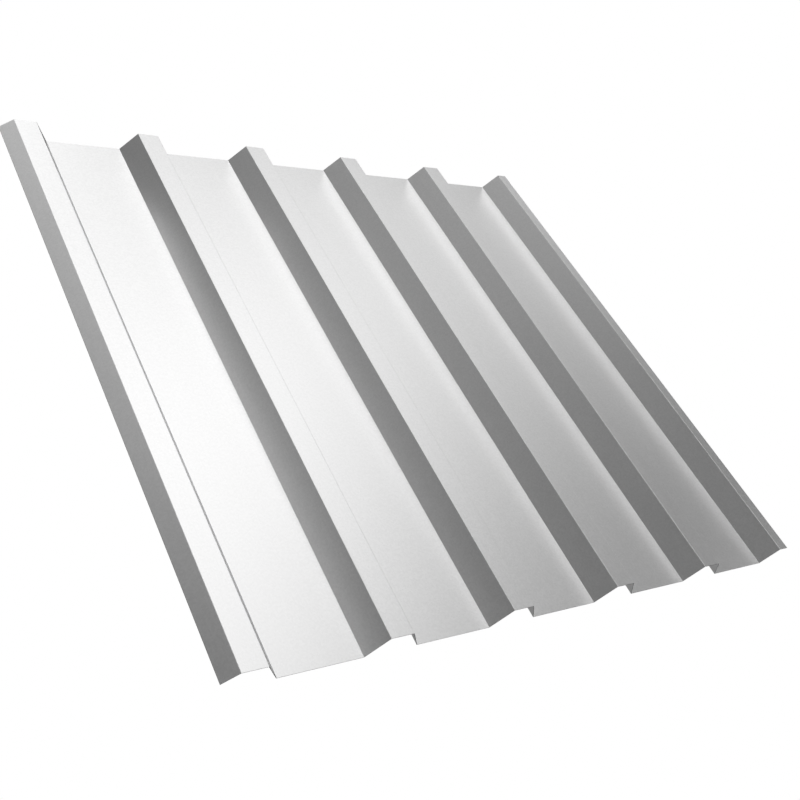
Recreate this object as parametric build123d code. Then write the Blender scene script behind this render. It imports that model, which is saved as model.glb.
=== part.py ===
from build123d import *
import os

# One metal sheet with trapezoidal ribs, lying flat. Millimetres.
# The ribs run along Y and follow each other along X, and the pans between them rest on Z = 0.
# X = 0 and Y = 0 are at the middle of the sheet.

# Sizes of the sheet
sheet_length = 991.0
sheet_thickness = 0.75
rib_pitch = 207.0
full_rib_count = 5
rib_rise = 34.5
bend_inside_radius = 0.2

# Widths and drops from fold to fold, at the middle of the thickness
crest_width = 35.2
web_run = 23.6
outer_web_run = 20.2
outer_web_drop = 16.8
lap_lip_width = 20.2

pan_level = sheet_thickness / 2
crest_level = pan_level + rib_rise
bend_radius = bend_inside_radius + sheet_thickness / 2


def fold_points():
    """The folds in order across the sheet, from the free edge of the first rib to the lap lip."""
    points = [(-outer_web_run, crest_level - outer_web_drop)]
    for rib in range(full_rib_count):
        crest_start = rib * rib_pitch
        crest_end = crest_start + crest_width
        next_crest = crest_start + rib_pitch
        points += [
            (crest_start, crest_level),
            (crest_end, crest_level),
            (crest_end + web_run, pan_level),
            (next_crest - web_run, pan_level),
        ]
    lip_start = full_rib_count * rib_pitch
    points += [(lip_start, crest_level), (lip_start + lap_lip_width, crest_level)]
    return points


def sheet_section():
    """The cut end of the sheet: one strip of even thickness with a round bend at every fold."""
    middle = FilletPolyline(*fold_points(), radius=bend_radius)
    upper = offset(middle, sheet_thickness / 2, side=Side.LEFT, closed=False)
    lower = offset(middle, sheet_thickness / 2, side=Side.RIGHT, closed=False)
    free_edge = Line(upper @ 1, lower @ 0)
    lip_edge = Line(lower @ 1, upper @ 0)
    return make_face([*upper.edges(), free_edge, *lower.edges(), lip_edge])


def profiled_sheet():
    """The section drawn out along Y to the cut length, centred on both level axes."""
    sheet = extrude(Plane.XZ * sheet_section(), sheet_length / 2, both=True)
    return Pos(-sheet.bounding_box().center().X, 0, 0) * sheet


os.makedirs("parts", exist_ok=True)
export_step(profiled_sheet(), "parts/profiled_sheet.step")
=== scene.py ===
import math

import bpy
from mathutils import Euler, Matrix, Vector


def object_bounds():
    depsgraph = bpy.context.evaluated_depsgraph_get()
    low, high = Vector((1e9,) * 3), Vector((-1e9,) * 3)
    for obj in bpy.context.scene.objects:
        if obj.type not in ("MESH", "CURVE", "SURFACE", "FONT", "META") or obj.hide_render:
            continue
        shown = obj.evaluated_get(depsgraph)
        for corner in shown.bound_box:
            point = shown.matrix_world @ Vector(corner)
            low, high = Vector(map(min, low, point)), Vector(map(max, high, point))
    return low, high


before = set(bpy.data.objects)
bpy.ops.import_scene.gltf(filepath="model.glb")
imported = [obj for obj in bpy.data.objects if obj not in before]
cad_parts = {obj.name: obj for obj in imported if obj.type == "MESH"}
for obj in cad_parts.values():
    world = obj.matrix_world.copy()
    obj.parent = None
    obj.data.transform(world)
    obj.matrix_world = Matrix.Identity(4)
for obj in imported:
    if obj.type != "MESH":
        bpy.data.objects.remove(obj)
cad_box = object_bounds()

# Camera, fitted to the fold lines of the photograph. Places are in metres.
camera_place = (-1.07889, -0.93548, 1.01366)
camera_turn_degrees = (47.6437, -25.7217, -28.8813)
camera_lens_mm = 47.77
camera_film_mm = 36.0
camera_near_limit = 0.01

# Soft round studio lights: azimuth and elevation in degrees, strength, and how tight the light is.
# They stand where the bright and dark faces in the photograph call for them.
soft_lights = {
    "broad light behind the sheet": (91, 26, 3.26, 18.5),
    "high light behind": (82, 56.5, 1.73, 51),
    "main light over the far right corner": (48.5, 41.7, 1.94, 38),
    "light from above": (33, 63, 2.16, 66),
    "light on the left faces of the ribs": (133, 35, 0.69, 59),
    "low light on the left faces of the ribs": (149, 12, 0.5, 64),
    "light from the right": (-3, 29, 1.69, 61),
    "broad fill light from the front": (250, 35, 0.8, 2.5),
    "weak light from below": (0, -90, 0.2, 2),
}
light_from_above = 0.045
light_from_below = 0.12
horizon_blend = 0.25
backdrop_brightness = 1.0
white = (1.0, 1.0, 1.0, 1.0)

# Floor
floor_half_width = 12.0
floor_brightness = 1.0

# Zinc-coated steel, and the bare steel of its sheared edges. Sizes are in metres.
metal_grey = 0.75
metal_roughness = 0.36
# The sheared edges are bare steel, darker than the zinc, and their grey is lowered further as painted
# shade.
edge_grey_with_painted_shade = 0.15
edge_roughness = 0.50
spangle_size = 0.0025
spangle_grey_change = 0.05
spangle_roughness_change = 0.03
rolling_line_width = 0.0007
rolling_line_length = 0.12
rolling_line_height = 0.0000012
rolling_line_grey_change = 0.06
rolling_line_roughness_change = 0.02
rolling_line_detail = 3.0
soft_wave_width = 0.16
soft_wave_length = 0.32
soft_wave_height = 0.00008
soft_wave_detail = 1.0
shear_mark_width = 0.0004
shear_mark_length = 0.01
shear_mark_height = 0.00004
shear_mark_detail = 2.0
side_edge_depth = 0.0003
cut_end_slope = 0.7
fold_depth = 0.0004
flat_crest_margin = 0.000005
# Painted highlight: the grey of the crest folds is lightened to offset the dark reflection they catch.
fold_painted_highlight = 0.12
fold_roughness = 0.80
pattern_middle = 0.5


def new_tree(owner):
    """The emptied node tree of a world or a material."""
    owner.use_nodes = True
    owner.node_tree.nodes.clear()
    return owner.node_tree


def add(tree, kind, inputs=None, **settings):
    """A new node with its settings, and with each named input set to a value or joined to a socket."""
    node = tree.nodes.new(kind)
    for name, value in settings.items():
        setattr(node, name, value)
    for name, value in (inputs or {}).items():
        if isinstance(value, bpy.types.NodeSocket):
            tree.links.new(value, node.inputs[name])
        else:
            node.inputs[name].default_value = value
    return node


def calculate(tree, operation, *terms):
    """The result of one maths node whose terms are numbers or sockets."""
    return add(tree, "ShaderNodeMath", dict(enumerate(terms)), operation=operation).outputs[0]


def camera():
    data = bpy.data.cameras.new("camera")
    data.lens = camera_lens_mm
    data.sensor_width = camera_film_mm
    data.clip_start = camera_near_limit
    thing = bpy.data.objects.new("camera", data)
    bpy.context.scene.collection.objects.link(thing)
    thing.location = camera_place
    thing.rotation_euler = Euler([math.radians(turn) for turn in camera_turn_degrees], "XYZ")
    bpy.context.scene.camera = thing


def toward(azimuth, elevation):
    """The unit vector that points to an azimuth and elevation given in degrees."""
    turn = math.radians(azimuth)
    rise = math.radians(elevation)
    return (math.cos(rise) * math.cos(turn), math.cos(rise) * math.sin(turn), math.sin(rise))


def studio():
    """Soft round lights around the sheet. The camera itself sees a plain white backdrop instead."""
    world = bpy.data.worlds.new("studio")
    bpy.context.scene.world = world
    tree = new_tree(world)
    place = add(tree, "ShaderNodeTexCoord")
    direction = add(tree, "ShaderNodeVectorMath", {0: place.outputs["Generated"]}, operation="NORMALIZE")
    height = add(tree, "ShaderNodeSeparateXYZ", {0: direction.outputs[0]}).outputs["Z"]
    base = add(tree, "ShaderNodeMapRange", {
        "Value": height,
        "From Min": -horizon_blend,
        "From Max": horizon_blend,
        "To Min": light_from_below,
        "To Max": light_from_above,
    })
    total = base.outputs[0]
    for azimuth, elevation, strength, tightness in soft_lights.values():
        facing = add(tree, "ShaderNodeVectorMath", {
            0: direction.outputs[0],
            1: toward(azimuth, elevation),
        }, operation="DOT_PRODUCT")
        front = calculate(tree, "MAXIMUM", facing.outputs["Value"], 0.0)
        glow = calculate(tree, "POWER", front, tightness)
        total = calculate(tree, "MULTIPLY_ADD", glow, strength, total)
    lights = add(tree, "ShaderNodeBackground", {"Color": white, "Strength": total})
    backdrop = add(tree, "ShaderNodeBackground", {"Color": white, "Strength": backdrop_brightness})
    ray = add(tree, "ShaderNodeLightPath")
    seen = add(tree, "ShaderNodeMixShader", {
        0: ray.outputs["Is Camera Ray"],
        1: lights.outputs[0],
        2: backdrop.outputs[0],
    })
    add(tree, "ShaderNodeOutputWorld", {"Surface": seen.outputs[0]})


def floor():
    """A white floor that glows evenly, so that it is as free of shadow as in the photograph."""
    material = bpy.data.materials.new("pale_floor")
    tree = new_tree(material)
    glow = add(tree, "ShaderNodeEmission", {"Color": white, "Strength": floor_brightness})
    add(tree, "ShaderNodeOutputMaterial", {"Surface": glow.outputs[0]})
    mesh = bpy.data.meshes.new("floor")
    far = floor_half_width
    corners = [(-far, -far, 0.0), (far, -far, 0.0), (far, far, 0.0), (-far, far, 0.0)]
    mesh.from_pydata(corners, [], [(0, 1, 2, 3)])
    mesh.materials.append(material)
    thing = bpy.data.objects.new("floor", mesh)
    bpy.context.scene.collection.objects.link(thing)
    thing.visible_glossy = False
    thing.visible_diffuse = False
    thing.visible_shadow = False


def stretched_noise(tree, place, size, detail):
    """Noise whose grains have the given size in metres along X, Y and Z."""
    scaled = add(tree, "ShaderNodeVectorMath", {
        0: place.outputs["Object"],
        1: [1.0 / length for length in size],
    }, operation="MULTIPLY")
    noise = add(tree, "ShaderNodeTexNoise", {
        "Vector": scaled.outputs[0],
        "Scale": 1.0,
        "Detail": detail,
    })
    return noise.outputs[0]


def rolling_lines(tree, place):
    """Fine lines that the rolls leave along the ribs."""
    return stretched_noise(
        tree, place, (rolling_line_width, rolling_line_length, rolling_line_width), rolling_line_detail)


def soft_waves(tree, place):
    """Slight unevenness of the thin sheet."""
    return stretched_noise(
        tree, place, (soft_wave_width, soft_wave_length, soft_wave_width), soft_wave_detail)


def shear_marks(tree, place):
    """Upright tear marks of the shears on the cut edges."""
    return stretched_noise(
        tree, place, (shear_mark_width, shear_mark_width, shear_mark_length), shear_mark_detail)


def spangle(tree, place):
    """The zinc crystals: one value for each, which varies about zero."""
    cells = add(tree, "ShaderNodeTexVoronoi", {
        "Vector": place.outputs["Object"],
        "Scale": 1.0 / spangle_size,
    })
    shade = add(tree, "ShaderNodeSeparateColor", {0: cells.outputs["Color"]})
    return calculate(tree, "SUBTRACT", shade.outputs[0], pattern_middle)


def sheared_edge(tree, place):
    """1 on the sheared faces around the sheet and 0 on its two sides."""
    normal = add(tree, "ShaderNodeSeparateXYZ", {0: place.outputs["Normal"]})
    point = add(tree, "ShaderNodeSeparateXYZ", {0: place.outputs["Object"]})
    along_ribs = calculate(tree, "ABSOLUTE", normal.outputs["Y"])
    cut_end = calculate(tree, "GREATER_THAN", along_ribs, cut_end_slope)
    from_middle = calculate(tree, "ABSOLUTE", point.outputs["X"])
    side_edge = calculate(tree, "GREATER_THAN", from_middle, cad_box[1][0] - side_edge_depth)
    return calculate(tree, "MAXIMUM", cut_end, side_edge)


def crest_fold(tree, place):
    """1 on the sharp folds beside the crests and 0 elsewhere. The folds are made matt, and their grey is
    lightened as a painted highlight against the dark reflection they catch.
    """
    height = add(tree, "ShaderNodeSeparateXYZ", {0: place.outputs["Object"]}).outputs["Z"]
    crest_top = cad_box[1][2]
    below_crest = calculate(tree, "LESS_THAN", height, crest_top - flat_crest_margin)
    above_web = calculate(tree, "GREATER_THAN", height, crest_top - fold_depth)
    return calculate(tree, "MULTIPLY", below_crest, above_web)


def sheet_metal():
    """Satin zinc coat with a faint spangle, fine roll lines, matt crest folds lightened with a painted
    highlight, and sheared edges of darker bare steel deepened with painted shade.
    """
    material = bpy.data.materials.new("sheet_metal")
    tree = new_tree(material)
    place = add(tree, "ShaderNodeTexCoord")
    edge = sheared_edge(tree, place)
    fold = crest_fold(tree, place)
    crystals = spangle(tree, place)
    rolling = rolling_lines(tree, place)
    lines = calculate(tree, "SUBTRACT", rolling, pattern_middle)

    coat_grey = calculate(tree, "MULTIPLY_ADD", crystals, spangle_grey_change, metal_grey)
    coat_grey = calculate(tree, "MULTIPLY_ADD", lines, rolling_line_grey_change, coat_grey)
    # Painted highlight: the crest folds are lightened against their dark reflection.
    coat_grey = calculate(tree, "MULTIPLY_ADD", fold, fold_painted_highlight, coat_grey)
    coat_rough = calculate(tree, "MULTIPLY_ADD", crystals, spangle_roughness_change, metal_roughness)
    coat_rough = calculate(tree, "MULTIPLY_ADD", lines, rolling_line_roughness_change, coat_rough)
    coat_rough = add(tree, "ShaderNodeMix", {0: fold, 2: coat_rough, 3: fold_roughness}).outputs[0]
    # Sheared edges: darker bare steel, deepened with painted shade.
    grey = add(tree, "ShaderNodeMix", {0: edge, 2: coat_grey, 3: edge_grey_with_painted_shade})
    rough = add(tree, "ShaderNodeMix", {0: edge, 2: coat_rough, 3: edge_roughness})

    waved = add(tree, "ShaderNodeBump", {
        "Height": soft_waves(tree, place),
        "Distance": soft_wave_height,
        "Strength": 1.0,
    })
    lined = add(tree, "ShaderNodeBump", {
        "Height": rolling,
        "Distance": rolling_line_height,
        "Strength": 1.0,
        "Normal": waved.outputs[0],
    })
    torn = add(tree, "ShaderNodeBump", {
        "Height": shear_marks(tree, place),
        "Distance": shear_mark_height,
        "Strength": edge,
        "Normal": lined.outputs[0],
    })
    shader = add(tree, "ShaderNodeBsdfPrincipled", {
        "Base Color": grey.outputs[0],
        "Metallic": 1.0,
        "Roughness": rough.outputs[0],
        "Normal": torn.outputs[0],
    })
    add(tree, "ShaderNodeOutputMaterial", {"Surface": shader.outputs[0]})
    return material


camera()
studio()
floor()
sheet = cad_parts["profiled_sheet"]
metal = sheet_metal()
for slot in sheet.material_slots:
    slot.material = metal

bpy.context.scene.view_settings.view_transform = "Standard"
